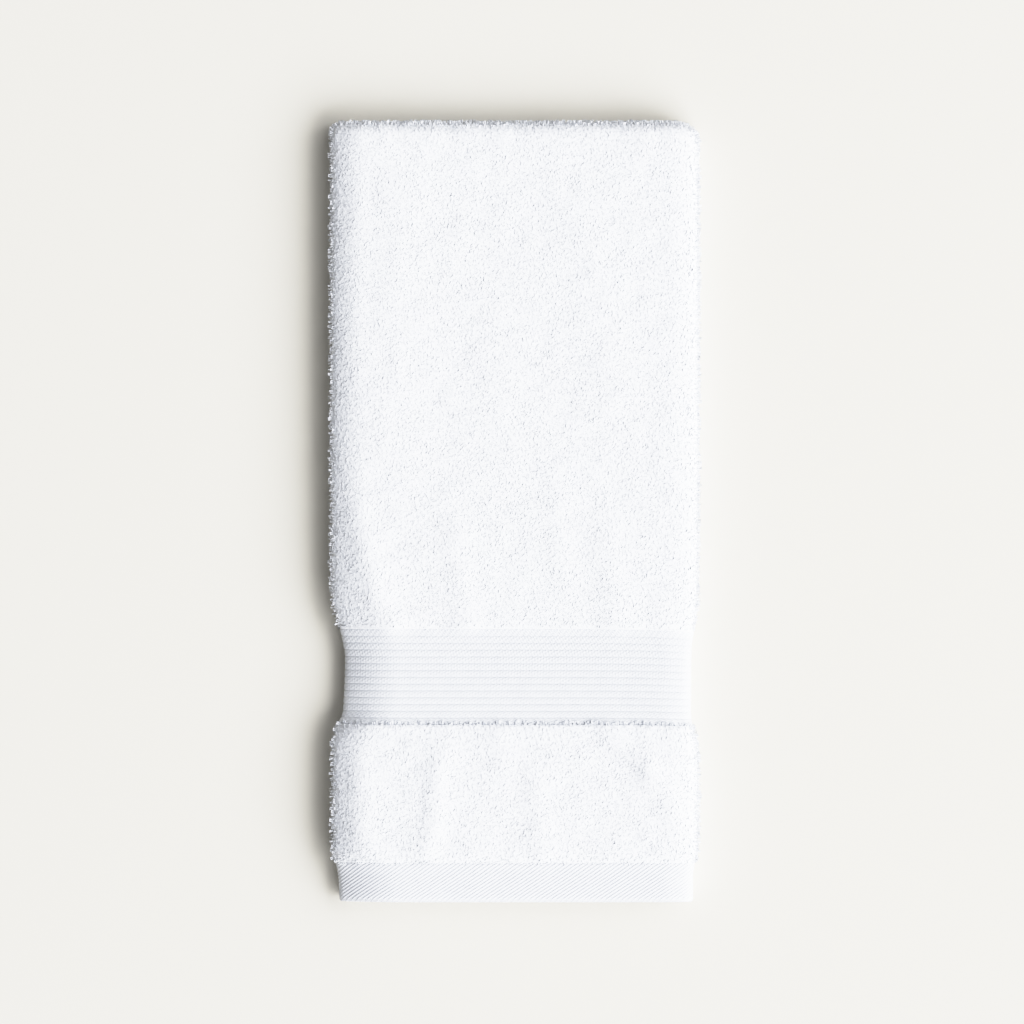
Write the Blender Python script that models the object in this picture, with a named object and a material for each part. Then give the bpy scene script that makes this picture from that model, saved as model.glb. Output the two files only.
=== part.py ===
"""A white terry hand towel, folded in thirds across and in half along, lying face up.

The cloth is one sheet. Its two side thirds are turned behind the middle third, the left one
first, and the three-layer strip is then folded in half at the top, so six layers lie on each
other. The sheet is built as a loft: one outline of the three layers, cut across the towel,
is carried from the back hem up to the top fold, round it and down to the front hem.

Sizes are millimetres until the last step. +X is the towel's right, +Y its top fold and +Z its
face. The origin is under the middle of the folded towel, on the surface that it lies on.
"""

from collections import namedtuple
import math

import bpy

MM = 0.001

# Driving sizes of the folded towel
HEIGHT = 357.0          # front hem to top fold
HALF_STACK = 10.2       # the three layers of one half, pile pressed against pile
MID_GAP = 0.2           # from the middle plane to the innermost layer of each half
PILE_LAYER = 3.1        # ground cloth with loops on both faces
BAND_LAYER = 1.9        # over a rib of the flat-woven band
GROOVE_LAYER = 1.0      # between two ribs
HEM_LAYER = 2.2         # turned twice and sewn down
BACK_SHORT = 1.5        # the back hem stops this far above the front one
BACK_INSET = 0.6        # and the back half is this much narrower on each side,
INSET_FADE = 40.0       # but for a stretch of this length below the top fold

# The flat-woven border, measured from the front hem
HEM_TOP = 18.0
BAND_FROM = 81.5
BAND_TO = 125.0
RIB_COUNT = 14
SAG_POWER = 4           # the ribs run straight and bend down only near the right roll

# The top fold's corners, seen from above
LEFT_CORNER = 4.4
RIGHT_CORNER = 9.2
TOP_FOLD_STEPS = 8

# The stack is thinner at its sides, as folded cloth is: shares of its height lost at the right
# roll, within a stretch of this width. The left fold has its shares in the tables below.
RIGHT_DROOP = 0.15
RIGHT_REACH = 14.0
FOLD_SQUARE = 4.0       # the top fold bulges out more squarely than a circle, which has 2

# One key section across the towel. left and right are its reach from the middle line, layer
# the thickness of one layer, rise the height of the face above the middle plane, droop the
# share of the stack's height lost at the left fold, reach the width over which it is lost, sag
# how far the weave hangs down at the right roll, and steps the sections up to the next row.
Key = namedtuple("Key", "from_hem left right layer rise droop reach sag steps")

HEM_AND_PANEL = (
    Key(0.0, 79.8, 81.0, 1.3, 7.2, 0.46, 29.0, 0.0, 1),
    Key(0.9, 80.5, 81.7, HEM_LAYER, 7.7, 0.46, 29.0, 0.0, 2),
    Key(11.0, 81.0, 81.6, HEM_LAYER, 8.0, 0.46, 29.0, 0.0, 1),
    Key(17.2, 82.2, 82.4, HEM_LAYER, 8.2, 0.40, 27.0, 0.0, 1),
    Key(18.8, 82.9, 83.0, 2.9, 9.6, 0.37, 25.0, 0.0, 1),
    Key(24.0, 84.0, 84.2, PILE_LAYER, 10.3, 0.29, 20.0, 0.0, 3),
    Key(66.0, 84.0, 84.6, PILE_LAYER, 10.4, 0.27, 18.0, 0.2, 1),
    Key(73.0, 83.9, 83.8, PILE_LAYER, 10.3, 0.30, 19.0, 0.4, 1),
    Key(77.0, 83.4, 83.1, PILE_LAYER, 10.2, 0.34, 20.0, 0.5, 1),
    Key(80.4, 82.1, 81.9, PILE_LAYER, 10.1, 0.38, 21.0, 0.6, 1),
    Key(81.2, 81.6, 81.6, PILE_LAYER, 9.9, 0.39, 22.0, 0.7, 1),
)
BAND = (
    Key(BAND_FROM, 81.3, 81.4, GROOVE_LAYER, 8.3, 0.40, 22.0, 0.7, 1),
    Key(88.0, 78.9, 80.9, BAND_LAYER, 8.2, 0.43, 24.0, 0.8, 1),
    Key(112.0, 78.0, 81.0, BAND_LAYER, 8.2, 0.43, 24.0, 1.3, 1),
    Key(120.0, 79.2, 81.3, BAND_LAYER, 8.3, 0.42, 24.0, 1.5, 1),
    Key(BAND_TO, 80.5, 82.2, GROOVE_LAYER, 8.4, 0.40, 23.0, 1.6, 1),
)
BODY = (
    Key(125.5, 80.8, 82.4, PILE_LAYER, 9.9, 0.40, 23.0, 1.6, 1),
    Key(128.5, 81.7, 82.8, PILE_LAYER, 10.1, 0.38, 22.0, 1.5, 1),
    Key(134.0, 83.2, 83.9, PILE_LAYER, 10.1, 0.35, 21.0, 1.1, 1),
    Key(140.0, 84.3, 84.2, PILE_LAYER, HALF_STACK, 0.32, 20.0, 0.7, 2),
    Key(155.0, 84.5, 84.4, PILE_LAYER, HALF_STACK, 0.29, 19.0, 0.1, 2),
    Key(190.0, 84.6, 84.6, PILE_LAYER, HALF_STACK, 0.26, 17.0, 0.0, 2),
    Key(260.0, 84.7, 84.7, PILE_LAYER, HALF_STACK, 0.26, 16.0, 0.0, 2),
    Key(HEIGHT - HALF_STACK, 84.6, 84.5, PILE_LAYER, HALF_STACK, 0.26, 16.0, 0.0, 1),
)

# The back half lies flat on the surface: only its band and hem are pressed off it.
BACK_BAND_RISE = 9.5
BACK_HEM_RISE = 9.6

# Soft ridges in the face, most of them where the band draws the cloth together. Each runs from
# one point to another, across being measured from the middle line and up from the front hem.
Ridge = namedtuple("Ridge", "across up to_across to_up reach height")

RIDGES = (
    Ridge(-52.0, 322.0, -58.0, 214.0, 12.0, 0.5),
    Ridge(30.0, 318.0, 44.0, 232.0, 13.0, 0.6),
    Ridge(-6.0, 262.0, -10.0, 200.0, 11.0, 0.4),
    Ridge(-74.0, 176.0, -58.0, 129.0, 7.0, 1.6),
    Ridge(-27.0, 170.0, -24.0, 129.0, 7.0, 1.1),
    Ridge(19.0, 198.0, 21.0, 150.0, 6.0, 0.6),
    Ridge(42.0, 166.0, 45.0, 129.0, 7.0, 0.8),
    Ridge(-73.0, 62.0, -72.0, 26.0, 6.0, 1.1),
    Ridge(-34.0, 66.0, -40.0, 24.0, 6.0, 1.2),
    Ridge(-8.0, 76.0, -4.0, 58.0, 6.0, 0.7),
    Ridge(10.0, 58.0, 12.0, 25.0, 6.0, 0.9),
    Ridge(42.0, 78.0, 62.0, 62.0, 6.0, 1.0),
    Ridge(62.0, 62.0, 72.0, 42.0, 6.0, 1.0),
)

# Where the points of a layer lie between the left fold (0) and the right roll (1)
FRONT_COLUMNS = (0.0, 0.03, 0.06, 0.13, 0.21, 0.32, 0.43, 0.54, 0.66, 0.78, 0.92, 1.0)
HIDDEN_COLUMNS = (0.06, 0.13, 0.92)
LEFT_FOLD_STEPS = 4
RIGHT_ROLL_STEPS = 6
LAST_THIRD_SHORT = 3.0  # the last third's free edge stops this far inside the left fold
TUCK_CLEAR = 0.4        # the first third's free edge stops this far before the right roll


def mix(first, second, share):
    return first + (second - first) * share


def between(first, second, share):
    """The key section that lies a share of the way from one row of a table to the next."""
    return Key(*[mix(a, b, share) for a, b in zip(first, second)])


def spread(table):
    """The rows of a table with the in-between sections that each row asks for."""
    sections = []
    for first, second in zip(table, table[1:]):
        sections += [between(first, second, step / first.steps) for step in range(first.steps)]
    return (*sections, table[-1])


def at_height(table, from_hem):
    """The section of a table at one height."""
    for first, second in zip(table, table[1:]):
        if from_hem <= second.from_hem:
            reach = second.from_hem - first.from_hem
            return between(first, second, (from_hem - first.from_hem) / reach)
    return table[-1]


def band_sections():
    """A groove, a rib, a groove and so on: the band's sections from its lower join up."""
    pitch = (BAND_TO - BAND_FROM) / RIB_COUNT
    sections = []
    for step in range(2 * RIB_COUNT + 1):
        section = at_height(BAND, BAND_FROM + pitch * step / 2.0)
        layer = BAND_LAYER if step % 2 else GROOVE_LAYER
        lost = (BAND_LAYER - layer) / 2.0
        sections.append(section._replace(layer=layer, rise=section.rise - lost))
    return tuple(sections)


def ridge_lift(across, up):
    """How far the soft ridges lift the face at one point."""
    lift = 0.0
    for ridge in RIDGES:
        run = (ridge.to_across - ridge.across, ridge.to_up - ridge.up)
        start = (across - ridge.across, up - ridge.up)
        share = (start[0] * run[0] + start[1] * run[1]) / (run[0] ** 2 + run[1] ** 2)
        share = min(1.0, max(0.0, share))
        away = math.hypot(start[0] - share * run[0], start[1] - share * run[1])
        lift += ridge.height * math.exp(-((away / ridge.reach) ** 2))
    return lift


def fold_path(section):
    """The middle of the three layers as (across, height, outward direction).

    It starts at the free edge of the first third, runs left, round the left fold, right along
    the face, round the wider right roll and back left to the free edge of the last third.
    """
    half = section.layer / 2.0
    inner = MID_GAP + half
    outer = section.rise - half
    middle = (inner + outer) / 2.0
    left_radius = (outer - middle) / 2.0
    right_radius = (outer - inner) / 2.0
    left_centre = -section.left + left_radius + half
    right_centre = section.right - right_radius - half

    def across(share):
        return mix(left_centre, right_centre, share)

    path = [(right_centre - TUCK_CLEAR, middle, (0.0, -1.0))]
    path += [(across(share), middle, (0.0, -1.0)) for share in reversed(HIDDEN_COLUMNS)]
    for step in range(LEFT_FOLD_STEPS):
        turn = -math.pi / 2.0 - math.pi * step / LEFT_FOLD_STEPS
        out = (math.cos(turn), math.sin(turn))
        centre_height = (middle + outer) / 2.0
        point = (left_centre + left_radius * out[0], centre_height + left_radius * out[1])
        path.append((*point, out))
    path += [(across(share), outer, (0.0, 1.0)) for share in FRONT_COLUMNS]
    for step in range(1, RIGHT_ROLL_STEPS + 1):
        turn = math.pi / 2.0 - math.pi * step / RIGHT_ROLL_STEPS
        out = (math.cos(turn), math.sin(turn))
        point = (right_centre + right_radius * out[0], middle + right_radius * out[1])
        path.append((*point, out))
    path += [(across(share), inner, (0.0, -1.0)) for share in reversed(HIDDEN_COLUMNS)]
    path.append((-section.left + LAST_THIRD_SHORT, inner, (0.0, -1.0)))
    return path


def outline(section, front):
    """The closed outline of the three layers: (across, height above the middle plane)."""
    half = section.layer / 2.0
    face_from = 1 + len(HIDDEN_COLUMNS) + LEFT_FOLD_STEPS
    face_to = face_from + len(FRONT_COLUMNS) - 1
    outer_side = []
    inner_side = []
    for index, (across, height, out) in enumerate(fold_path(section)):
        lift = 0.0
        if front and face_from < index < face_to:
            lift = ridge_lift(across, section.from_hem)
        for side, sign in ((outer_side, 1.0), (inner_side, -1.0)):
            side.append((across + sign * half * out[0], height + sign * half * out[1] + lift))
    return outer_side + inner_side[::-1]


def rounded_corner(across, up, section):
    """Draws a point in where the top fold's corners are rounded, seen from above."""
    corner = LEFT_CORNER if across < 0.0 else RIGHT_CORNER
    reach = section.left if across < 0.0 else section.right
    past = up - (HEIGHT - corner)
    if past <= 0.0:
        return across
    inset = corner - math.sqrt(max(0.0, corner * corner - past * past))
    return across * (reach - inset) / reach


def kept_height(across, up):
    """The share of its height above the surface that a point keeps near the two sides."""
    section = at_height(HEM_AND_PANEL + BAND + BODY, max(0.0, up))
    from_left = max(0.0, 1.0 - (across + section.left) / section.reach)
    from_right = max(0.0, 1.0 - (section.right - across) / RIGHT_REACH)
    return 1.0 - section.droop * from_left ** 2 - RIGHT_DROOP * from_right ** 2


def squared(value):
    """A sine or cosine, pushed outwards so that a half turn has a squarer outline."""
    return math.copysign(abs(value) ** (2.0 / FOLD_SQUARE), value)


def back_half(section):
    """The same section on the back half: a little narrower, its face flat on the surface."""
    inset = BACK_INSET * min(1.0, (HEIGHT - HALF_STACK - section.from_hem) / INSET_FADE)
    rise = HALF_STACK
    if section.layer <= BAND_LAYER:
        rise = BACK_BAND_RISE - (BAND_LAYER - section.layer) / 2.0
    if section.from_hem < HEM_TOP:
        rise = BACK_HEM_RISE
    return section._replace(left=section.left - inset, right=section.right - inset, rise=rise)


def ring(section, turn, base, front):
    """One closed ring of points, standing across the towel at a turn round the top fold."""
    points = []
    for across, height in outline(section, front):
        sag = section.sag * max(0.0, across / section.right) ** SAG_POWER
        up = base - sag + height * squared(round(math.sin(turn), 9))
        above = HALF_STACK - height * squared(round(math.cos(turn), 9))
        above *= kept_height(across, up)
        across = rounded_corner(across, up, section)
        points.append((across, up - HEIGHT / 2.0, above))
    return points


def towel_rings():
    """All rings, from the back hem up, round the top fold and down to the front hem."""
    plain_back = HEM_AND_PANEL + band_sections() + BODY
    ridged_front = spread(HEM_AND_PANEL) + band_sections() + spread(BODY)
    rings = []
    for section in plain_back:
        raised = section.from_hem + BACK_SHORT * max(0.0, 1.0 - section.from_hem / HEM_TOP)
        rings.append(ring(back_half(section), 0.0, raised, False))
    top = BODY[-1]
    for step in range(1, TOP_FOLD_STEPS):
        turn = math.pi * step / TOP_FOLD_STEPS
        rings.append(ring(top, turn, top.from_hem, False))
    for section in reversed(ridged_front):
        rings.append(ring(section, math.pi, section.from_hem, True))
    return rings


def loft(name, rings):
    """A closed solid through rings of equal point counts, with its two ends filled."""
    count = len(rings[0])
    points = [[value * MM for value in point] for one in rings for point in one]
    faces = []
    for level in range(len(rings) - 1):
        low = level * count
        for index in range(count):
            after = (index + 1) % count
            faces.append((low + after, low + index, low + count + index, low + count + after))
    faces += end_faces(0, count, True)
    faces += end_faces((len(rings) - 1) * count, count, False)
    mesh = bpy.data.meshes.new(name)
    mesh.from_pydata(points, [], faces)
    mesh.validate()
    return mesh


def end_faces(first, count, flipped):
    """The end of the folded sheet, as one quad for each stretch between its two faces."""
    faces = []
    for index in range(count // 2 - 1):
        far = count - 1 - index
        quad = (first + index, first + index + 1, first + far - 1, first + far)
        faces.append(quad if flipped else quad[::-1])
    return faces


def cotton(name, colour, roughness):
    """A plain cotton material."""
    material = bpy.data.materials.new(name)
    material.use_nodes = True
    shader = material.node_tree.nodes["Principled BSDF"]
    shader.inputs["Base Color"].default_value = (*colour, 1.0)
    shader.inputs["Roughness"].default_value = roughness
    shader.inputs["Metallic"].default_value = 0.0
    return material


def make_towel(collection):
    mesh = loft("towel", towel_rings())
    towel = bpy.data.objects.new("towel", mesh)
    towel.data.materials.append(cotton("white_cotton", (0.87, 0.87, 0.86), 0.95))
    towel.data.shade_smooth()
    towel.data.set_sharp_from_angle(angle=math.radians(25.0))
    collection.objects.link(towel)
    return towel


def main():
    for thing in list(bpy.data.objects):
        bpy.data.objects.remove(thing, do_unlink=True)
    collection = bpy.data.collections.new("hand_towel")
    bpy.context.scene.collection.children.link(collection)
    make_towel(collection)


main()
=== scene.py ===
"""The looks of a white terry hand towel, folded in thirds across and in half along.

The towel is one sheet with a flat ribbed band and a twill hem near each end. The ground cloth is
one closed mesh, a loft of the three-layer section that is carried from the back hem up, round
the top fold and down to the front hem. The terry loops stand on its outer face as short arches
of flat yarn, and the twill is low ridges on its hems.

Sizes are millimetres until the meshes are written. +X is the towel's right, +Y its top fold and
+Z its face. Heights inside a section are measured from the middle plane of the folded towel.
"""

from collections import namedtuple
import math

import bpy
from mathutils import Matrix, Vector
import numpy as np


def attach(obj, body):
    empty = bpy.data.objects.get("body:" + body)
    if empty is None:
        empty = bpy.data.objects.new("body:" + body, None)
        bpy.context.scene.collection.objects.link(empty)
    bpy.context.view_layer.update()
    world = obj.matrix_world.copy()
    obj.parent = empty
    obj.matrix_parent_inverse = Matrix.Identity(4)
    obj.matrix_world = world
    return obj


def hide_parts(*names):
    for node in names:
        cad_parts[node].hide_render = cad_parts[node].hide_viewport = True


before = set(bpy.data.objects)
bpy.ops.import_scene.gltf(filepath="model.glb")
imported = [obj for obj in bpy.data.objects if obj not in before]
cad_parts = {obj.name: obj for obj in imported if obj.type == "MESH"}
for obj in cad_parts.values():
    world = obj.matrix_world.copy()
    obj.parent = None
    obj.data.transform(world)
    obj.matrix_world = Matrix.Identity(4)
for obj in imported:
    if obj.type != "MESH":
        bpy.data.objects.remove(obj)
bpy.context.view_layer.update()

MM = 0.001
SEED = 11

# The towel as it was cut, and as it lies folded
HEIGHT = 357.0
HALF_STACK = 10.2       # from the middle plane to the face
MID_GAP = 0.2           # from the middle plane to the first layer on each side
PILE_LAYER = 3.1        # one layer, to the tips of its loops
BAND_LAYER = 1.9
GROOVE_LAYER = 0.75     # between two ribs of the band
HEM_LAYER = 2.2
BACK_SHORT = 1.5        # the back hem lies this far above the front one,
BACK_INSET = 0.6        # and the back half's sides this far inside the front's,
INSET_FADE = 40.0       # from this far below the top fold

# The flat-woven border, measured from the front hem
HEM_TOP = 18.0
BAND_FROM = 81.5
BAND_TO = 125.0
RIB_COUNT = 14
RIB_SQUARE = 4          # a rib's outline is this much squarer than a circle, which has 2
LEFT_DIG = 0.45         # the grooves are this much deeper at the left fold,
LEFT_DIG_REACH = 9.0    # fading over about this width
SAG_POWER = 4           # how late across the towel the weave begins to sag

# The top fold's corners, seen from above
LEFT_CORNER = 4.4
RIGHT_CORNER = 9.2

# The loops
LOOP_REACH = 0.9        # the ground cloth lies this far below the tips of the loops
FACE_RISE = 0.5         # and this much less on the face, where the loops are pressed flat
LOOP_SPACING = 1.32     # between rows of loops, and between loops in a row
BACK_SPACING = 2.8      # coarser underneath, where the towel lies on them
PLACE_JITTER = 0.38     # a loop stands up to this share of the spacing from its place in the row
LEFT_SIDE = 10.5        # the way round the left fold,
RIGHT_SIDE = 15.5       # and round the right roll
YARN_WIDE = 0.29        # half the width of a loop's yarn, pressed flat in the loop's own plane
YARN_THICK = 0.16       # and how thick it is across that plane
LOWEST = 0.02           # no loop goes below this height over the surface that the towel lies on
CLUMP_HEIGHT = 0.3      # soft swells in the pile of the face,
CLUMP_CELL = 6.0        # each about this wide

# One key section: its place above the front hem, its reach to each side, the thickness of a
# layer, the height of the face, the share of the stack's height lost at the left fold, the
# width over which it is lost, and how far the weave sags at the right roll.
Row = namedtuple("Row", "from_hem left right layer rise droop reach sag")

ROWS = (
    Row(0.0, 79.8, 81.0, 0.9, 6.9, 0.46, 29.0, 0.0),
    Row(0.3, 80.2, 81.4, 1.7, 7.4, 0.46, 29.0, 0.0),
    Row(1.2, 80.5, 81.7, HEM_LAYER, 7.7, 0.46, 29.0, 0.0),
    Row(11.0, 81.0, 81.7, HEM_LAYER, 8.0, 0.46, 29.0, 0.0),
    Row(17.4, 82.2, 82.4, HEM_LAYER, 8.2, 0.40, 27.0, 0.0),
    Row(18.6, 82.9, 83.0, 2.9, 9.6, 0.37, 25.0, 0.0),
    Row(24.0, 84.0, 84.2, PILE_LAYER, 10.3, 0.29, 20.0, 0.0),
    Row(66.0, 84.0, 84.6, PILE_LAYER, 10.4, 0.27, 18.0, 0.2),
    Row(73.0, 83.9, 83.8, PILE_LAYER, 10.3, 0.30, 19.0, 0.4),
    Row(77.0, 83.4, 83.1, PILE_LAYER, 10.2, 0.34, 20.0, 0.5),
    Row(80.4, 82.1, 81.9, PILE_LAYER, 10.1, 0.38, 21.0, 0.6),
    Row(81.2, 81.6, 81.6, PILE_LAYER, 9.9, 0.39, 22.0, 0.7),
    Row(BAND_FROM, 81.3, 81.4, BAND_LAYER, 8.7, 0.40, 22.0, 0.7),
    Row(88.0, 78.9, 80.9, BAND_LAYER, 8.3, 0.43, 24.0, 0.8),
    Row(112.0, 78.0, 81.0, BAND_LAYER, 8.3, 0.43, 24.0, 1.3),
    Row(120.0, 79.2, 81.3, BAND_LAYER, 8.4, 0.42, 24.0, 1.5),
    Row(BAND_TO, 80.5, 82.2, BAND_LAYER, 8.7, 0.40, 23.0, 1.6),
    Row(125.5, 80.8, 82.4, PILE_LAYER, 9.9, 0.40, 23.0, 1.6),
    Row(128.5, 81.7, 82.8, PILE_LAYER, 10.1, 0.38, 22.0, 1.5),
    Row(134.0, 83.2, 83.9, PILE_LAYER, 10.1, 0.35, 21.0, 1.1),
    Row(140.0, 84.3, 84.2, PILE_LAYER, HALF_STACK, 0.32, 20.0, 0.7),
    Row(155.0, 84.5, 84.4, PILE_LAYER, HALF_STACK, 0.29, 19.0, 0.1),
    Row(190.0, 84.6, 84.6, PILE_LAYER, HALF_STACK, 0.26, 17.0, 0.0),
    Row(260.0, 84.7, 84.7, PILE_LAYER, HALF_STACK, 0.26, 16.0, 0.0),
    Row(HEIGHT - HALF_STACK, 84.6, 84.5, PILE_LAYER, HALF_STACK, 0.26, 16.0, 0.0),
)
RIGHT_DROOP = 0.15
RIGHT_REACH = 14.0
FOLD_SQUARE = 4.0       # the top fold's outline is this much squarer than a circle, which has 2
BACK_BAND_RISE = 9.5
BACK_HEM_RISE = 9.6

# Soft ridges in the face, from one point to another: across from the middle line, up from the
# front hem, with how far they reach to each side and how high they stand.
Ridge = namedtuple("Ridge", "across up to_across to_up reach height")

RIDGES = (
    Ridge(-52.0, 322.0, -58.0, 214.0, 12.0, 0.5),
    Ridge(30.0, 318.0, 44.0, 232.0, 13.0, 0.6),
    Ridge(-6.0, 262.0, -10.0, 200.0, 11.0, 0.4),
    Ridge(-74.0, 176.0, -58.0, 129.0, 7.0, 1.4),
    Ridge(-27.0, 170.0, -24.0, 129.0, 7.0, 1.0),
    Ridge(19.0, 198.0, 21.0, 150.0, 6.0, 0.6),
    Ridge(42.0, 166.0, 45.0, 129.0, 7.0, 0.8),
    Ridge(-73.0, 62.0, -72.0, 26.0, 6.0, 0.9),
    Ridge(-34.0, 66.0, -40.0, 24.0, 6.0, 1.2),
    Ridge(-8.0, 76.0, -4.0, 58.0, 6.0, 0.7),
    Ridge(10.0, 58.0, 12.0, 25.0, 6.0, 0.9),
    Ridge(42.0, 78.0, 62.0, 62.0, 6.0, 1.0),
    Ridge(62.0, 62.0, 72.0, 42.0, 6.0, 1.0),
)

# How finely the sheet is drawn
LEFT_FOLD_STEPS = 10
RIGHT_ROLL_STEPS = 14
TOP_FOLD_STEPS = 22
HIDDEN_SHARES = (0.0, 0.03, 0.07, 0.12, 0.2, 0.35, 0.5, 0.7, 0.85, 0.93, 1.0)
FACE_STEPS = 66
LAST_THIRD_SHORT = 3.0  # the inner layer ends this far from the left fold,
TUCK_CLEAR = 0.4        # and the middle one this far from the right roll
RIB_STOPS = (0.0, 0.08, 0.2, 0.5, 0.8, 0.92)
NOISE_CELLS = 128       # the smooth noise repeats after this many cells


def monotone(places, values, at):
    """A smooth curve through a table's values that never overshoots them."""
    places, values, at = (np.asarray(one, float) for one in (places, values, at))
    step = np.diff(places)
    slope = np.diff(values) / step
    tangent = np.zeros(len(values))
    rising = slope[:-1] * slope[1:] > 0.0
    before, after = slope[:-1][rising], slope[1:][rising]
    tangent[1:-1][rising] = 2.0 * before * after / (before + after)
    span = np.clip(np.searchsorted(places, at, side="right") - 1, 0, len(step) - 1)
    t = np.clip((at - places[span]) / step[span], 0.0, 1.0)
    width = step[span]
    start, end = values[span], values[span + 1]
    bend = t * t * (3.0 - 2.0 * t)
    rise = t * (1.0 - t)
    return start + (end - start) * bend + width * rise * (
        (1.0 - t) * tangent[span] - t * tangent[span + 1])


def soft_noise(across, up, cell, seed):
    """Smooth random heights from -1 to 1 over a plane, with bumps about one cell across."""
    count = NOISE_CELLS
    table = np.random.default_rng(seed).uniform(-1.0, 1.0, (count, count))
    u, v = np.asarray(across) / cell + count / 2.0, np.asarray(up) / cell + count / 2.0
    i, j = np.floor(u).astype(int), np.floor(v).astype(int)
    s, t = u - i, v - j
    s, t = s * s * (3.0 - 2.0 * s), t * t * (3.0 - 2.0 * t)
    i, j, next_i, next_j = i % count, j % count, (i + 1) % count, (j + 1) % count
    near = table[i, j] * (1.0 - s) + table[next_i, j] * s
    far = table[i, next_j] * (1.0 - s) + table[next_i, next_j] * s
    return near * (1.0 - t) + far * t


def ridge_lift(across, up):
    """How far the soft ridges lift the face."""
    lift = np.zeros(np.shape(across))
    for ridge in RIDGES:
        run = (ridge.to_across - ridge.across, ridge.to_up - ridge.up)
        share = (across - ridge.across) * run[0] + (up - ridge.up) * run[1]
        share = np.clip(share / (run[0] ** 2 + run[1] ** 2), 0.0, 1.0)
        away = np.hypot(across - ridge.across - share * run[0], up - ridge.up - share * run[1])
        lift += ridge.height * np.exp(-((away / ridge.reach) ** 2))
    return lift


def rib_height(from_hem):
    """From 0 in a groove of the band to 1 over a rib, and 1 outside the band."""
    pitch = (BAND_TO - BAND_FROM) / RIB_COUNT
    place = (from_hem - BAND_FROM) / pitch
    swing = np.abs(2.0 * (place - np.floor(place)) - 1.0)
    inside = (from_hem >= BAND_FROM) & (from_hem <= BAND_TO)
    return np.where(inside, np.sqrt(np.clip(1.0 - swing ** RIB_SQUARE, 0.0, 1.0)), 1.0)


def in_pile(from_hem):
    """1 where loops stand and 0 on the hem and the band, with short slopes between."""
    rise = np.clip((from_hem - HEM_TOP + 0.4) / 0.8, 0.0, 1.0)
    to_band = np.clip((BAND_FROM + 0.1 - from_hem) / 0.8, 0.0, 1.0)
    from_band = np.clip((from_hem - BAND_TO - 0.1) / 0.8, 0.0, 1.0)
    return rise * np.maximum(to_band, from_band)


def hem_stops():
    return [0.0, 0.15, 0.35, 0.7, 1.2] + list(np.linspace(2.6, 17.2, 11)) + [17.8, 18.4, 19.0]


def band_stops():
    pitch = (BAND_TO - BAND_FROM) / RIB_COUNT
    stops = [BAND_FROM + pitch * (rib + stop) for rib in range(RIB_COUNT) for stop in RIB_STOPS]
    return stops + [BAND_TO]


def front_stops():
    panel = list(np.linspace(20.0, 79.6, 31)) + [80.4, 80.9, 81.3]
    body = [125.4, 125.9, 126.6] + list(np.linspace(127.6, HEIGHT - HALF_STACK, 92))
    return hem_stops() + panel + band_stops() + body


def back_stops():
    panel = list(np.linspace(20.5, 79.6, 14)) + [80.5, 81.2]
    body = [125.4, 126.1] + list(np.linspace(127.6, HEIGHT - HALF_STACK, 26))
    return hem_stops() + panel + band_stops() + body


class Stations:
    """The sections from the back hem, round the top fold, to the front hem, one value each."""

    def __init__(self):
        back, front = back_stops(), front_stops()
        turns = [math.pi * step / TOP_FOLD_STEPS for step in range(1, TOP_FOLD_STEPS)]
        top = HEIGHT - HALF_STACK
        self.from_hem = np.array(back + [top] * len(turns) + front[::-1])
        self.turn = np.array([0.0] * len(back) + turns + [math.pi] * len(front))
        self.front = (1.0 - np.cos(self.turn)) / 2.0
        table = {name: monotone([row.from_hem for row in ROWS],
                                [getattr(row, name) for row in ROWS], self.from_hem)
                 for name in Row._fields}
        band = (self.from_hem >= BAND_FROM) & (self.from_hem <= BAND_TO)
        groove = (BAND_LAYER - GROOVE_LAYER) * (1.0 - rib_height(self.from_hem))
        self.layer = np.where(band, BAND_LAYER - groove, table["layer"])
        inset = BACK_INSET * np.clip((top - self.from_hem) / INSET_FADE, 0.0, 1.0)
        inset = inset * (1.0 - self.front)
        self.left = table["left"] - inset
        self.right = table["right"] - inset
        rise = table["rise"] - np.where(band, groove / 2.0, 0.0)
        back_rise = np.where(band, BACK_BAND_RISE - groove / 2.0, HALF_STACK)
        back_rise = np.where(self.from_hem < HEM_TOP, BACK_HEM_RISE, back_rise)
        self.rise = np.where(self.turn == 0.0, back_rise, rise)
        self.sag = table["sag"]
        self.inset = LOOP_REACH * in_pile(self.from_hem)
        short = BACK_SHORT * np.clip(1.0 - self.from_hem / HEM_TOP, 0.0, 1.0)
        self.base = self.from_hem + np.where(self.turn == 0.0, short, 0.0)


def column(values):
    return values[:, None]


def unit(vectors):
    """The same directions, each one long."""
    return vectors / np.linalg.norm(vectors, axis=-1, keepdims=True)


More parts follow.
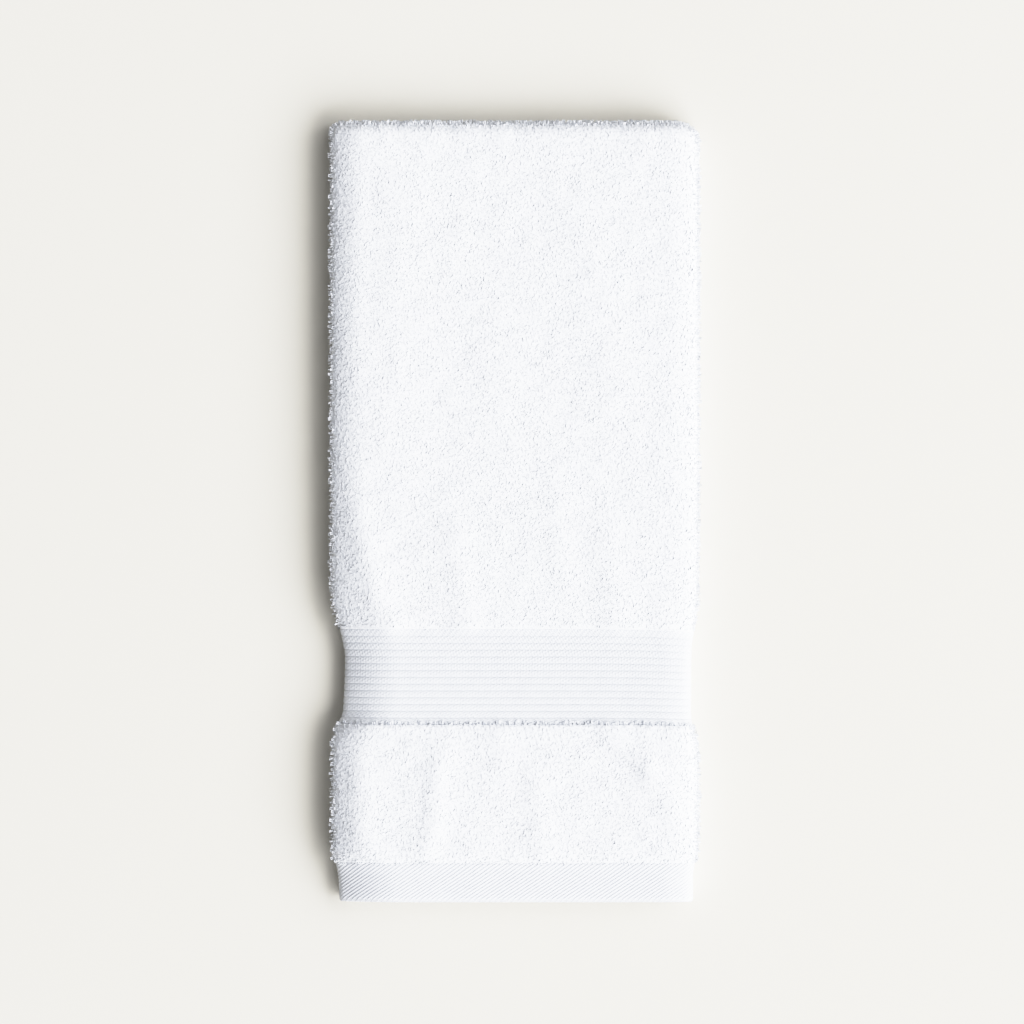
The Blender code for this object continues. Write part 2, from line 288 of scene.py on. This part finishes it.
def fold_path(stations):
    """The middle of the three layers, a row for each station.

    Gives across, height, the outward direction, and 1 where the point's outer side shows.
    """
    half = column(stations.layer / 2.0)
    inner = MID_GAP + half
    outer = column(stations.rise) - half
    middle = (inner + outer) / 2.0
    left_radius = (outer - middle) / 2.0
    right_radius = (outer - inner) / 2.0
    left_centre = -column(stations.left) + left_radius + half
    right_centre = column(stations.right) - right_radius - half
    run = right_centre - left_centre
    hidden = np.array(HIDDEN_SHARES)[None, :]
    even = np.linspace(0.0, 1.0, FACE_STEPS + 1)
    closer_at_the_sides = 0.5 * (1.0 - np.cos(math.pi * even))
    face = (even + closer_at_the_sides)[None, :] / 2.0
    nothing = np.zeros_like(run)

    def straight(shares, height, up, shows, start=left_centre, length=run):
        across = start + length * shares
        flat = np.zeros_like(across)
        return across, height + flat, flat, flat + up, flat + shows

    def turned(angles, centre, centre_height, radius):
        angles = np.array(angles)[None, :]
        out_x, out_up = np.cos(angles) + nothing, np.sin(angles) + nothing
        shown = np.ones_like(out_x)
        return (centre + radius * out_x, centre_height + radius * out_up, out_x, out_up, shown)

    quarter = math.pi / 2.0
    left_turns = [-quarter - math.pi * k / LEFT_FOLD_STEPS for k in range(LEFT_FOLD_STEPS)]
    right_turns = [quarter - math.pi * k / RIGHT_ROLL_STEPS for k in range(1, RIGHT_ROLL_STEPS)]
    parts = (
        straight(hidden[:, :0:-1], middle, -1.0, 0.0, length=run - TUCK_CLEAR),
        turned(left_turns, left_centre, (middle + outer) / 2.0, left_radius),
        straight(face, outer, 1.0, 1.0),
        turned(right_turns, right_centre, middle, right_radius),
        straight(hidden[:, ::-1], inner, -1.0, 0.0,
                 start=-column(stations.left) + LAST_THIRD_SHORT,
                 length=right_centre + column(stations.left) - LAST_THIRD_SHORT),
    )
    return [np.concatenate(values, axis=1) for values in zip(*parts)]


def kept_height(across, up):
    """The share of its height above the surface that a point keeps near the two sides."""
    at = {name: monotone([row.from_hem for row in ROWS], [getattr(row, name) for row in ROWS], up)
          for name in ("left", "right", "droop", "reach")}
    from_left = np.clip(1.0 - (across + at["left"]) / at["reach"], 0.0, 1.0)
    from_right = np.clip(1.0 - (at["right"] - across) / RIGHT_REACH, 0.0, 1.0)
    return 1.0 - at["droop"] * from_left ** 2 - RIGHT_DROOP * from_right ** 2


def squared(value):
    """A sine or cosine, pushed outwards so that a half turn has a squarer outline."""
    return np.sign(value) * np.abs(value) ** (2.0 / FOLD_SQUARE)


def placed(across, height, stations):
    """Points of the sections in the towel's own space."""
    turn = column(stations.turn)
    sag = column(stations.sag) * np.clip(across / column(stations.right), 0.0, 1.0) ** SAG_POWER
    up = column(stations.base) - sag + height * squared(np.sin(turn).round(9))
    above = HALF_STACK - height * squared(np.cos(turn).round(9))
    above = above * kept_height(across, up)
    corner = np.where(across < 0.0, LEFT_CORNER, RIGHT_CORNER)
    side = np.where(across < 0.0, column(stations.left), column(stations.right))
    past = np.clip(up - (HEIGHT - corner), 0.0, corner)
    inset = corner - np.sqrt(corner ** 2 - past ** 2)
    return np.stack((across * (side - inset) / side, up - HEIGHT / 2.0, above), axis=2)


def cloth_surfaces(stations):
    """The outer and inner faces of the folded cloth: arrays of points, station by place."""
    across, height, out_x, out_up, shows = fold_path(stations)
    half = column(stations.layer / 2.0)
    from_left = (across + column(stations.left)) / LEFT_DIG_REACH
    dig = LEFT_DIG * column(1.0 - rib_height(stations.from_hem)) * np.exp(-np.abs(from_left))
    pressed_flat = FACE_RISE * np.clip(out_up, 0.0, 1.0) ** 2 * column(stations.inset) / LOOP_REACH
    outward = half - (column(stations.inset) + dig - pressed_flat) * shows
    face = (shows > 0.0) & (out_up > 0.999)
    run = (across + column(stations.left)) / column(stations.left + stations.right)
    fade = np.clip(8.0 * np.minimum(run, 1.0 - run), 0.0, 1.0) * face
    clumps = CLUMP_HEIGHT * soft_noise(across, column(stations.from_hem), CLUMP_CELL, SEED + 9)
    clumps = clumps * column(in_pile(stations.from_hem))
    lift = ridge_lift(across, column(stations.from_hem)) + clumps
    lift = lift * fade * column(stations.front)
    sides = []
    for sign, offset in ((1.0, outward), (-1.0, half)):
        x = across + sign * offset * out_x
        up = height + sign * offset * out_up
        sides.append(placed(x, up + lift, stations))
    return sides[0], sides[1], shows


def mesh_object(name, points, faces, smooth=True):
    """A mesh object from points in millimetres."""
    mesh = bpy.data.meshes.new(name)
    mesh.from_pydata((np.asarray(points).reshape(-1, 3) * MM).tolist(), [], faces)
    mesh.polygons.foreach_set("use_smooth", [smooth] * len(mesh.polygons))
    mesh.update()
    thing = bpy.data.objects.new(name, mesh)
    bpy.context.scene.collection.objects.link(thing)
    return thing


def arc_lengths(points, axis):
    """Distances along one axis of a grid of points, from its first row or column."""
    steps = np.linalg.norm(np.diff(points, axis=axis), axis=2)
    start = np.zeros_like(np.take(steps, [0], axis=axis))
    return np.concatenate((start, np.cumsum(steps, axis=axis)), axis=axis)


def make_sheet(stations, outer, inner, materials):
    """The ground cloth, closed at its two hems and its two side edges."""
    rows, places = outer.shape[:2]
    ring = np.concatenate((outer, inner[:, ::-1]), axis=1)
    count = 2 * places
    low = np.arange(rows - 1)[:, None] * count
    index = np.arange(count)[None, :]
    after = (index + 1) % count
    walls = np.stack((low + after, low + index, low + count + index, low + count + after), axis=2)
    faces = walls.reshape(-1, 4).tolist()
    for first, flipped in ((0, True), ((rows - 1) * count, False)):
        for k in range(places - 1):
            far = count - 1 - k
            quad = [first + k, first + k + 1, first + far - 1, first + far]
            faces.append(quad if flipped else quad[::-1])
    sheet = mesh_object("towel_cloth", ring, faces)
    for material in materials:
        sheet.data.materials.append(material)
    middle = (stations.from_hem[:-1] + stations.from_hem[1:]) / 2.0
    kind = np.where(middle < HEM_TOP, 2, np.where((middle > BAND_FROM) & (middle < BAND_TO), 1, 0))
    kinds = np.concatenate((np.repeat(kind, count), np.full(2 * (places - 1), 2)))
    sheet.data.polygons.foreach_set("material_index", kinds.astype(np.int32))
    across = arc_lengths(outer, 1)
    across = np.concatenate((across, across[:, ::-1]), axis=1)
    along = np.repeat(column(stations.from_hem), count, axis=1)
    weave = np.stack((across * MM, along * MM), axis=2).reshape(-1, 2)
    layer = sheet.data.uv_layers.new(name="weave")
    corners = np.zeros(len(sheet.data.loops), np.int32)
    sheet.data.loops.foreach_get("vertex_index", corners)
    layer.data.foreach_set("uv", weave[corners].ravel())
    return sheet


class Surface:
    """The shown outer face, to be sampled by the way along the towel and round its section."""

    def __init__(self, stations, outer, shows):
        shown = np.nonzero(shows[0] > 0.0)[0]
        self.points = outer[:, shown[0]:shown[-1] + 1]
        self.round = arc_lengths(self.points, 1)
        middle = self.points.shape[1] // 2
        self.along = arc_lengths(self.points, 0)[:, middle]
        self.from_hem = stations.from_hem
        self.front = stations.front
        over = np.gradient(self.points, axis=1)
        down = np.gradient(self.points, axis=0)
        normal = np.cross(down, over)
        self.normal = unit(normal)

    def row(self, along):
        """Points, normals and distances round the section at one distance along the towel."""
        k = int(np.clip(np.searchsorted(self.along, along) - 1, 0, len(self.along) - 2))
        share = (along - self.along[k]) / (self.along[k + 1] - self.along[k])
        values = [getattr(self, name)[k] * (1.0 - share) + getattr(self, name)[k + 1] * share
                  for name in ("points", "normal", "round", "from_hem", "front")]
        return values


def read_off(spot, way, values):
    """A section's points or directions, at distances round it."""
    return np.stack([np.interp(spot, way, values[:, axis]) for axis in range(3)], axis=-1)


def loop_roots(surface, first, last, spacing, rng, sides=None):
    """Where loops stand between two distances along the towel: rows of jittered places.

    With sides True only the two folded sides are covered, and with False only what lies between.
    Gives each loop's place, its three directions (out of the cloth, across it and along it), and
    its distances round the section and along the towel.
    """
    spots, normals, facts = [], [], []
    for number, along in enumerate(np.arange(first, last, spacing)):
        points, normal, way, from_hem, front = surface.row(along)
        start = spacing * (0.25 if number % 2 else 0.75)
        spot = np.arange(start, way[-1], spacing)
        jitter = rng.uniform(-PLACE_JITTER, PLACE_JITTER, len(spot)) * spacing
        spot = np.clip(spot + jitter, 0.0, way[-1])
        if sides is not None:
            at_side = (spot < LEFT_SIDE) | (spot > way[-1] - RIGHT_SIDE)
            spot = spot[at_side == sides]
        shift = rng.uniform(-PLACE_JITTER, PLACE_JITTER, len(spot)) * spacing
        out = unit(read_off(spot, way, normal))
        over = unit(read_off(spot, way, np.gradient(points, axis=0)))
        along_cloth = np.cross(out, over)
        spots.append(read_off(spot, way, points) + along_cloth * column(shift))
        normals.append(np.stack((out, over, along_cloth), axis=1))
        facts.append(np.stack((spot, np.full(len(spot), along)), axis=1))
    return np.concatenate(spots), np.concatenate(normals), np.concatenate(facts)


# The loop's yarn: its places from one foot to the other, as the share of the gap between the
# feet, the share of the lean, the share of the height, and the yarn's thickness there.
LoopStop = namedtuple("LoopStop", "side lean height thickness")

LOOP_STOPS = (
    LoopStop(-0.8, 0.0, -0.3, 0.9),
    LoopStop(-0.85, 0.75, 0.95, 1.0),
    LoopStop(0.85, 0.75, 0.95, 1.0),
    LoopStop(0.8, 0.0, -0.3, 0.9),
)
# The yarn's section: three corners, as shares of its half width and of its thickness
YARN_SECTION = ((0.0, 0.7), (1.0, -0.3), (-1.0, -0.3))
# Loops are pressed flat on the face and stand out of the folds at the sides and the top: how
# far a loop's shading follows the cloth that it lies on, how tall it is and how far it leans.
Standing = namedtuple("Standing", "pressed tall lean")
ON_FACE = Standing(0.85, 0.4, 1.0)
ON_FOLD = Standing(0.0, 1.4, 0.6)
TALL_SHARE = 0.45       # this share of the loops on a fold stands taller than the rest,
TALLER = 1.75           # by this much
EDGE_REACH = 1.6        # loops are short within this distance of the band and the hem,
EDGE_TALL = 0.6         # by this much
STEEPNESS = 1.7         # how soon a loop counts as on a fold, as the cloth turns down
LEAN_CELL = 5.0         # loops within about this width of each other lean alike by this share,
LEAN_ALIKE = 0.8
LEAN_OWN = 0.8          # and each leans its own way by this share
LEAN_SIZES = (0.5, 1.3)
LEAN_SPREAD = (0.75, 1.15)
TWIST = 0.5             # a loop's plane is turned by about this angle, in radians
UPRIGHT = 0.85          # an upright loop's height,
LEAN_LOSS = 0.2         # less this share of its lean
HEIGHT_SPREAD = (0.8, 1.2)
FOOT_GAPS = (0.32, 0.58)
SWELLS = (0.85, 1.15)   # thinner and thicker yarn


def loop_leans(axes, facts, lean_share, rng):
    """Each loop's lean, the direction from foot to foot, and how far it leans."""
    over, along = axes[:, 1], axes[:, 2]
    field = [soft_noise(facts[:, 0], facts[:, 1], LEAN_CELL, SEED + k) for k in (1, 2)]
    angle = rng.uniform(0.0, 2.0 * math.pi, len(facts))
    lean_over = LEAN_ALIKE * field[0] + LEAN_OWN * np.cos(angle)
    lean_along = LEAN_ALIKE * field[1] + LEAN_OWN * np.sin(angle)
    size = np.hypot(lean_over, lean_along) + 1e-6
    lean_over, lean_along = lean_over / size, lean_along / size
    reach = np.clip(size, *LEAN_SIZES) * rng.uniform(*LEAN_SPREAD, len(facts)) * lean_share
    twist = rng.normal(0.0, TWIST, len(facts))
    side_over = lean_over * np.sin(twist) - lean_along * np.cos(twist)
    side_along = lean_over * np.cos(twist) + lean_along * np.sin(twist)
    lean = over * column(lean_over * reach) + along * column(lean_along * reach)
    return lean, over * column(side_over) + along * column(side_along), reach


def loop_heights(facts, reach, stands, tall_share, bordered, rng):
    """How tall each loop is: less where it leans far, and beside the band and the hem."""
    tall = (UPRIGHT - LEAN_LOSS * reach) * rng.uniform(*HEIGHT_SPREAD, len(reach)) * tall_share
    tall = tall * np.where(rng.uniform(0.0, 1.0, len(reach)) < TALL_SHARE * stands, TALLER, 1.0)
    if bordered:
        along = facts[:, 1]
        from_edge = np.minimum(along - along.min(), along.max() - along)
        tall = tall * (EDGE_TALL + (1.0 - EDGE_TALL) * np.clip(from_edge / EDGE_REACH, 0.0, 1.0))
    return tall


def loop_skin(path, plane, swell):
    """The corners round each loop's yarn, and the way that each corner faces.

    The yarn lies flat in the loop's own plane, which is given by the way its upper side faces.
    """
    run = unit(np.gradient(path, axis=1))
    within = unit(np.cross(run, plane[:, None, :]))
    over_plane = np.cross(within, run)
    thick = np.array([stop.thickness for stop in LOOP_STOPS])[None, :, None] * swell[:, None, None]
    corners, facing = [], []
    for sideways, up in YARN_SECTION:
        spoke = within * (sideways * YARN_WIDE) + over_plane * (up * YARN_THICK)
        corners.append(path + spoke * thick)
        facing.append(unit(within * sideways + over_plane * up * 2.0))
    return np.stack(corners, axis=2), np.stack(facing, axis=2)


def loop_faces(count):
    """The sides of every loop's yarn, which is open at its two feet."""
    stops, sides = len(LOOP_STOPS), len(YARN_SECTION)
    quads = []
    for level in range(stops - 1):
        for k in range(sides):
            low, after = level * sides, (k + 1) % sides
            quads.append((low + k, low + after, low + sides + after, low + sides + k))
    faces = np.array(quads)[None] + np.arange(count)[:, None, None] * (stops * sides)
    return faces.reshape(-1, 4).tolist()


def make_loops(name, roots, axes, facts, rng, material, bordered):
    """One joined mesh of terry loops, each a short arch of flat yarn that leans its own way."""
    out = axes[:, 0]
    stands = np.clip(STEEPNESS * (1.0 - out[:, 2]), 0.0, 1.0)
    pressed, tall_share, lean_share = (
        flat + (steep - flat) * stands for flat, steep in zip(ON_FACE, ON_FOLD))
    lean, side, reach = loop_leans(axes, facts, lean_share, rng)
    tall = loop_heights(facts, reach, stands, tall_share, bordered, rng)
    gap = rng.uniform(*FOOT_GAPS, len(roots))
    swell = rng.uniform(*SWELLS, len(roots))
    path = np.stack([roots + side * column(gap * stop.side) + lean * stop.lean
                     + out * column(tall * stop.height) for stop in LOOP_STOPS], axis=1)
    plane = np.cross(side, lean + out * column(tall))
    plane = unit(plane * np.sign(np.sum(plane * out, axis=1, keepdims=True)))
    points, facing = loop_skin(path, plane, swell)
    points[..., 2] = np.maximum(points[..., 2], LOWEST)
    share = pressed[:, None, None, None]
    facing = unit(facing * (1.0 - share) + out[:, None, None, :] * share)
    loops = mesh_object(name, points, loop_faces(len(roots)))
    loops.data.normals_split_custom_set_from_vertices(facing.reshape(-1, 3).tolist())
    loops.data.materials.append(material)
    return loops


TWILL_RISE = math.radians(32.1)
TWILL_PITCH = 2.49      # between twill lines, measured across the towel
TWILL_HALF_WIDTH = 0.42
TWILL_HEIGHT = 0.26
TWILL_STOPS = 13
TWILL_FROM = 0.25       # above the hem's lower edge,
TWILL_PAST = 0.1        # and past its top
TWILL_CLEAR = 0.4       # from the ends of the section
# A ridge's section, as shares of its half width and of its height
TWILL_PROFILE = ((-1.0, -0.15), (-0.55, 0.75), (0.0, 1.0), (0.55, 0.75), (1.0, -0.15))


def twill_lines(surface, front):
    """The middle of every twill ridge on one hem: places, and the way the cloth faces there."""
    half = surface.front > 0.5 if front else surface.front < 0.5
    order = np.nonzero(half)[0]
    order = order[np.argsort(surface.from_hem[order])]
    heights = np.linspace(TWILL_FROM, HEM_TOP + TWILL_PAST, TWILL_STOPS)
    ways_along = np.interp(heights, surface.from_hem[order], surface.along[order])
    sections = [surface.row(along)[:3] for along in ways_along]
    width = min(way[-1] for _, _, way in sections)
    slope = 1.0 / math.tan(TWILL_RISE)
    lines = []
    for start in np.arange(-heights[-1] * slope, width, TWILL_PITCH):
        line = []
        for height, (points, normal, way) in zip(heights, sections):
            spot = start + height * slope
            if TWILL_CLEAR < spot < way[-1] - TWILL_CLEAR:
                line.append((read_off(spot, way, points), read_off(spot, way, normal)))
        if len(line) > 1:
            lines.append(line)
    return lines


def make_twill(name, surface, front, material):
    """The hem's diagonal weave: one low rounded ridge for each twill line, wrapped round it."""
    wide = len(TWILL_PROFILE)
    points, faces = [], []
    for line in twill_lines(surface, front):
        centre = np.array([place for place, _ in line])
        out = np.array([direction for _, direction in line])
        side = np.cross(out, unit(np.gradient(centre, axis=0)))
        start = len(points)
        for spot, outward, across in zip(centre, out, side):
            for sideways, up in TWILL_PROFILE:
                points.append(spot + across * (sideways * TWILL_HALF_WIDTH)
                              + outward * (up * TWILL_HEIGHT))
        for level in range(len(line) - 1):
            for k in range(wide - 1):
                low = start + level * wide + k
                faces.append((low, low + 1, low + wide + 1, low + wide))
    twill = mesh_object(name, np.array(points), faces)
    twill.data.materials.append(material)
    return twill


# Materials. The cotton is a cool white, all of one dye. The band and the hem take darker tones
# than the pile: painted shade, standing in for the fine shading within the flat weave. The pile's
# tones are pushed up as painted light, for light bounced among its loops.
THREAD_PITCH = 1.32     # between the band's upright threads
HEM_THREADS = (0.75, 0.95)  # between the hem's fine threads, across and along
# pushed up: painted light, making up for light bounced among the loops
PILE_TONES = ((0.905, 0.921, 0.958), (0.932, 0.947, 0.980))
# darker than the pile's: painted shade of the flat weave, not a darker dye
WOVEN_TONES_PAINTED_SHADE = ((0.765, 0.780, 0.818), (0.800, 0.815, 0.850))


def cotton_material(name, grain, tones=WOVEN_TONES_PAINTED_SHADE):
    """White cotton: a soft change between two tones, and a faint sheen."""
    material = bpy.data.materials.new(name)
    material.use_nodes = True
    nodes, links = material.node_tree.nodes, material.node_tree.links
    shader = nodes["Principled BSDF"]
    shader.inputs["Roughness"].default_value = 0.92
    shader.inputs["Sheen Weight"].default_value = 0.12
    shader.inputs["Sheen Roughness"].default_value = 0.6
    shader.inputs["Specular IOR Level"].default_value = 0.2
    place = nodes.new("ShaderNodeTexCoord")
    tone = nodes.new("ShaderNodeTexNoise")
    tone.inputs["Scale"].default_value = grain
    tone.inputs["Detail"].default_value = 3.0
    links.new(place.outputs["Object"], tone.inputs["Vector"])
    ramp = nodes.new("ShaderNodeMix")
    ramp.data_type = "RGBA"
    ramp.inputs[6].default_value = (*tones[0], 1.0)
    ramp.inputs[7].default_value = (*tones[1], 1.0)
    spread = nodes.new("ShaderNodeMapRange")
    spread.inputs["From Min"].default_value = 0.3
    spread.inputs["From Max"].default_value = 0.6
    links.new(tone.outputs["Fac"], spread.inputs["Value"])
    links.new(spread.outputs["Result"], ramp.inputs[0])
    links.new(ramp.outputs[2], shader.inputs["Base Color"])
    return material, nodes, links, shader, place


def add_bump(nodes, links, shader, height, strength, distance):
    bump = nodes.new("ShaderNodeBump")
    bump.inputs["Strength"].default_value = strength
    bump.inputs["Distance"].default_value = distance
    links.new(height, bump.inputs["Height"])
    links.new(bump.outputs["Normal"], shader.inputs["Normal"])


def fibre_bump(nodes, links, shader, place, scale, strength, distance):
    fibre = nodes.new("ShaderNodeTexNoise")
    fibre.inputs["Scale"].default_value = scale
    fibre.inputs["Detail"].default_value = 2.0
    links.new(place.outputs["Object"], fibre.inputs["Vector"])
    add_bump(nodes, links, shader, fibre.outputs["Fac"], strength, distance)


def sine(nodes, links, value, pitch, turn=0.0):
    """sin(2 pi value / pitch + turn) of a socket's value."""
    scaled = nodes.new("ShaderNodeMath")
    scaled.operation = "MULTIPLY_ADD"
    scaled.inputs[1].default_value = 2.0 * math.pi / pitch
    scaled.inputs[2].default_value = turn
    links.new(value, scaled.inputs[0])
    wave = nodes.new("ShaderNodeMath")
    wave.operation = "SINE"
    links.new(scaled.outputs[0], wave.inputs[0])
    return wave.outputs[0]


def times(nodes, links, first, second):
    product = nodes.new("ShaderNodeMath")
    product.operation = "MULTIPLY"
    links.new(first, product.inputs[0])
    links.new(second, product.inputs[1])
    return product.outputs[0]


def weave_place(nodes, links):
    """The distances across and along the cloth, in metres."""
    flat = nodes.new("ShaderNodeUVMap")
    flat.uv_map = "weave"
    split = nodes.new("ShaderNodeSeparateXYZ")
    links.new(flat.outputs["UV"], split.inputs[0])
    return split.outputs["X"], split.outputs["Y"]


def pile_material():
    material, nodes, links, shader, place = cotton_material("terry_pile", 420.0, PILE_TONES)
    fibre_bump(nodes, links, shader, place, scale=5200.0, strength=0.35, distance=0.00012)
    return material


def ground_material():
    material, nodes, links, shader, place = cotton_material("terry_ground", 260.0, PILE_TONES)
    fibre_bump(nodes, links, shader, place, scale=2600.0, strength=0.5, distance=0.0003)
    return material


def band_material():
    """The flat-woven band: small upright threads, set like bricks along each rib."""
    material, nodes, links, shader, _ = cotton_material("ribbed_band", 180.0)
    across, along = weave_place(nodes, links)
    rib = (BAND_TO - BAND_FROM) / RIB_COUNT * MM
    threads = sine(nodes, links, across, THREAD_PITCH * MM)
    bricks = times(nodes, links, sine(nodes, links, across, 2.0 * THREAD_PITCH * MM, 0.7),
                   sine(nodes, links, along, rib / 2.0))
    stitch = nodes.new("ShaderNodeMath")
    stitch.operation = "MULTIPLY_ADD"
    stitch.inputs[1].default_value = 0.45
    links.new(threads, stitch.inputs[0])
    links.new(bricks, stitch.inputs[2])
    add_bump(nodes, links, shader, stitch.outputs[0], strength=0.8, distance=0.00011)
    return material


def hem_material():
    material, nodes, links, shader, place = cotton_material("twill_hem", 200.0)
    across, along = weave_place(nodes, links)
    threads = times(nodes, links, sine(nodes, links, across, HEM_THREADS[0] * MM),
                    sine(nodes, links, along, HEM_THREADS[1] * MM))
    add_bump(nodes, links, shader, threads, strength=0.5, distance=0.0001)
    return material


FLOOR_TONE = (0.755, 0.722, 0.640, 1.0)
FLOOR_HALF = 9000.0
FLOOR_DROP = 0.05       # just under the towel


def make_floor():
    corners = [(across * FLOOR_HALF, up * FLOOR_HALF, 0.0)
               for across, up in ((-1, -1), (1, -1), (1, 1), (-1, 1))]
    floor = mesh_object("floor", corners, [(0, 1, 2, 3)], smooth=False)
    floor.location.z = -FLOOR_DROP * MM
    material = bpy.data.materials.new("pale_floor")
    material.use_nodes = True
    shader = material.node_tree.nodes["Principled BSDF"]
    shader.inputs["Base Color"].default_value = FLOOR_TONE
    shader.inputs["Roughness"].default_value = 1.0
    shader.inputs["Specular IOR Level"].default_value = 0.0
    floor.data.materials.append(material)
    return floor


# One softbox: its height above the floor and its turn from +X towards +Y, in degrees, its
# width and height in metres, and its power in watts.
Softbox = namedtuple("Softbox", "name elevation turn width height power")

SOFTBOXES = (
    Softbox("key", 40.0, -44.0, 8.0, 7.6, 1040.0),
    Softbox("side", 40.0, -6.0, 8.0, 7.6, 780.0),
    Softbox("back", 40.0, 40.0, 8.0, 7.6, 270.0),
)
SOFTBOX_DISTANCE = 9.0
SOFTBOX_TONE = (0.950, 0.965, 1.0)
FILL = 0.21


def make_softbox(box):
    data = bpy.data.lights.new(box.name, "AREA")
    data.shape = "RECTANGLE"
    data.size, data.size_y = box.width, box.height
    data.energy = box.power
    data.color = SOFTBOX_TONE
    light = bpy.data.objects.new(box.name, data)
    bpy.context.scene.collection.objects.link(light)
    elevation, turn = math.radians(box.elevation), math.radians(box.turn)
    away = Vector((math.cos(elevation) * math.cos(turn), math.cos(elevation) * math.sin(turn),
                   math.sin(elevation)))
    light.location = away * SOFTBOX_DISTANCE
    light.rotation_euler = away.to_track_quat("Z", "Y").to_euler()


def make_light():
    """Wide soft light from the right, and an even pale surround."""
    for box in SOFTBOXES:
        make_softbox(box)
    world = bpy.data.worlds.new("surround")
    world.use_nodes = True
    world.node_tree.nodes["Background"].inputs["Color"].default_value = (*SOFTBOX_TONE, 1.0)
    world.node_tree.nodes["Background"].inputs["Strength"].default_value = FILL
    bpy.context.scene.world = world


# The photograph: the towel is 778 of its 1024 pixels high, and its middle is a little right
# of and below the frame's middle.
FRAME_PIXELS = 1024.0
TOWEL_PIXELS = 778.0
MIDDLE_RIGHT_PIXELS = 2.75
MIDDLE_DOWN_PIXELS = 0.5
CAMERA_HEIGHT = 2600.0
SIGHT_HEIGHT = 12.0     # the towel's outline lies about this high
SENSOR = 36.0


def make_camera():
    """A long lens straight above the towel."""
    pixel = HEIGHT / TOWEL_PIXELS
    data = bpy.data.cameras.new("camera")
    data.sensor_width = SENSOR
    data.lens = SENSOR * CAMERA_HEIGHT / (FRAME_PIXELS * pixel)
    camera = bpy.data.objects.new("camera", data)
    camera.location = (-MIDDLE_RIGHT_PIXELS * pixel * MM, MIDDLE_DOWN_PIXELS * pixel * MM,
                       (CAMERA_HEIGHT + SIGHT_HEIGHT) * MM)
    bpy.context.scene.collection.objects.link(camera)
    bpy.context.scene.camera = camera


# The photograph's bright tones are drawn together: light up to the knee is kept as it is, and
# more light than that comes ever closer to white.
KNEE = 0.6
BRIGHTEST = 3.0
CURVE_STOPS = (0.1, 0.25, 0.4, 0.5, 0.6, 0.7, 0.8, 0.9, 1.0, 1.15, 1.3, 1.5, 1.75, 2.1, 2.5)


def shown_tone(light):
    room = 1.0 - KNEE
    return light if light < KNEE else 1.0 - room * math.exp((KNEE - light) / room)


def set_tone_curve():
    view = bpy.context.scene.view_settings
    view.view_transform = "Standard"
    view.look = "None"
    view.use_curve_mapping = True
    mapping = view.curve_mapping
    mapping.white_level = (BRIGHTEST, BRIGHTEST, BRIGHTEST)
    curve = mapping.curves[3]
    curve.points[-1].location = (1.0, shown_tone(BRIGHTEST))
    for light in CURVE_STOPS:
        curve.points.new(light / BRIGHTEST, shown_tone(light))
    mapping.update()


def pile_ranges(surface):
    """Where the pile begins and ends along the towel, a little to each side of its borders."""
    back = slice(0, len(back_stops()))
    front = slice(len(surface.from_hem) - len(front_stops()), None)

    def way(half, from_hem):
        order = np.argsort(surface.from_hem[half], kind="stable")
        return float(np.interp(from_hem, surface.from_hem[half][order],
                               surface.along[half][order]))

    back_top = way(back, HEIGHT - HALF_STACK)
    front_top = way(front, HEIGHT - HALF_STACK)
    return {
        "back_lower": (way(back, HEM_TOP + 0.3), way(back, BAND_FROM - 0.3)),
        "back_upper": (way(back, BAND_TO + 0.6), back_top),
        "top_fold": (back_top, front_top),
        "upper": (front_top, way(front, BAND_TO + 0.4)),
        "lower": (way(front, BAND_FROM + 0.5), way(front, HEM_TOP - 0.2)),
    }


def cut(span, pieces):
    """A range along the towel, cut into equal pieces."""
    edges = np.linspace(span[0], span[1], pieces + 1)
    return list(zip(edges[:-1], edges[1:]))


# One patch of the pile: the range it lies in, its name, how many pieces it is cut into, the
# spacing of its loops, and whether it covers only the folded sides, only the rest, or both.
Patch = namedtuple("Patch", "span name parts spacing sides")

PATCHES = (
    Patch("upper", "upper", 3, LOOP_SPACING, None),
    Patch("lower", "lower", 1, LOOP_SPACING, None),
    Patch("top_fold", "top_fold", 1, LOOP_SPACING, None),
    Patch("back_upper", "back_upper", 1, BACK_SPACING, False),
    Patch("back_lower", "back_lower", 1, BACK_SPACING, False),
    Patch("back_upper", "back_upper_sides", 1, LOOP_SPACING, True),
    Patch("back_lower", "back_lower_sides", 1, LOOP_SPACING, True),
)


def make_pile(surface, material):
    """All the loops, in pieces of a moderate size."""
    rng = np.random.default_rng(SEED)
    spans = pile_ranges(surface)
    pieces = []
    for patch in PATCHES:
        for number, (first, last) in enumerate(cut(spans[patch.span], patch.parts)):
            roots, axes, facts = loop_roots(surface, first, last, patch.spacing, rng, patch.sides)
            name = f"pile_{patch.name}" + (f"_{number + 1}" if patch.parts > 1 else "")
            bordered = patch.name == "lower"
            pieces.append(make_loops(name, roots, axes, facts, rng, material, bordered))
    return pieces


def main():
    stations = Stations()
    outer, inner, shows = cloth_surfaces(stations)
    surface = Surface(stations, outer, shows)
    hem = hem_material()
    sheet = make_sheet(stations, outer, inner, (ground_material(), band_material(), hem))
    pieces = make_pile(surface, pile_material())
    pieces += [make_twill("hem_twill_front", surface, True, hem),
               make_twill("hem_twill_back", surface, False, hem)]
    for piece in [sheet] + pieces:
        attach(piece, "root")
    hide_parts("towel")
    make_floor()
    make_light()
    make_camera()
    set_tone_curve()


main()
